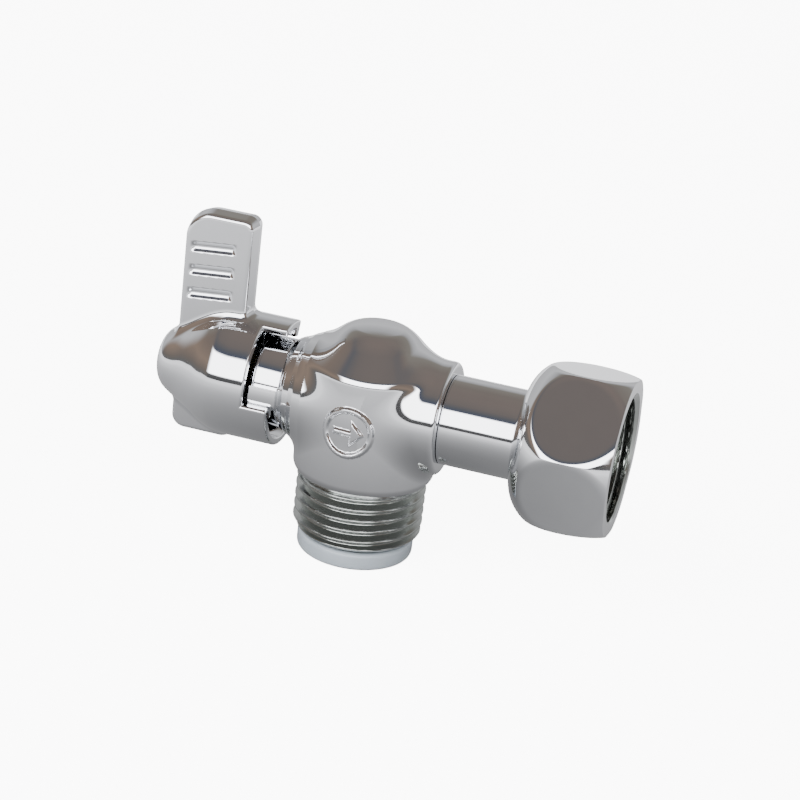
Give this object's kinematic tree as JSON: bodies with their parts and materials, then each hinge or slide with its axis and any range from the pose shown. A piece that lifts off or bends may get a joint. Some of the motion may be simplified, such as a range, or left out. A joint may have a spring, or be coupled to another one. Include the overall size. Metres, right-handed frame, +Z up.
{
  "type": "angle stop valve",
  "caption": "Chrome angle stop valve with a quarter-turn lever handle, male threaded inlet below and a swivel union nut on the side outlet tube.",
  "frame": {"origin": "centre of the inlet thread's lowest crest, on the inlet axis; the outlet axis is 21.9 mm above it", "axes": "+X along the outlet tube towards the union nut, the handle on the -X side; +Z up the body away from the inlet; -Y is the marked front"},
  "size_m": [0.0766, 0.0278, 0.0518],
  "materials": {
    "chrome_body": "polished chrome plate on brass, duller machined thread",
    "chrome_tube": "polished chrome plate on brass",
    "chrome_nut": "polished chrome plate on brass",
    "chrome_handle": "polished chrome plate on cast zinc",
    "ball": "mirror polished",
    "brass": "turned",
    "steel": "plain",
    "ptfe": "matt",
    "nylon": "matt",
    "rubber": "matt",
    "white_seal": "milky soft plastic"
  },
  "bodies": {
    "housing": {"valve_body": "chrome_body", "inlet_seat": "ptfe", "inlet_seat_retainer": "brass", "retainer_o_ring": "rubber", "outlet_seat": "ptfe", "outlet_tube": "chrome_tube", "outlet_tube_o_ring": "rubber", "union_washer": "rubber", "stem_thrust_washer": "ptfe", "stem_bush": "ptfe", "inlet_seal": "white_seal"},
    "lever": {"handle": "chrome_handle", "stem": "brass", "valve_ball": "ball", "stem_o_ring_inner": "rubber", "stem_o_ring_outer": "rubber", "handle_screw": "steel", "handle_spring_washer": "steel"},
    "slip_ring": {"nut_slip_ring": "nylon"},
    "nut": {"union_nut": "chrome_nut"}
  },
  "joints": [
    {"name": "handle_turn", "type": "hinge", "parent": "housing", "child": "lever", "pos_m": [-0.02, 0, 0.0219], "axis": [1, 0, 0], "range_deg": [0, 90]},
    {"name": "union_slide", "type": "slide", "parent": "housing", "child": "slip_ring", "axis": [-1, 0, 0], "range_m": [0, 0.0115]},
    {"name": "union_nut_spin", "type": "hinge", "parent": "slip_ring", "child": "nut", "pos_m": [0.034, 0, 0.0219], "axis": [1, 0, 0], "continuous": true}
  ]
}
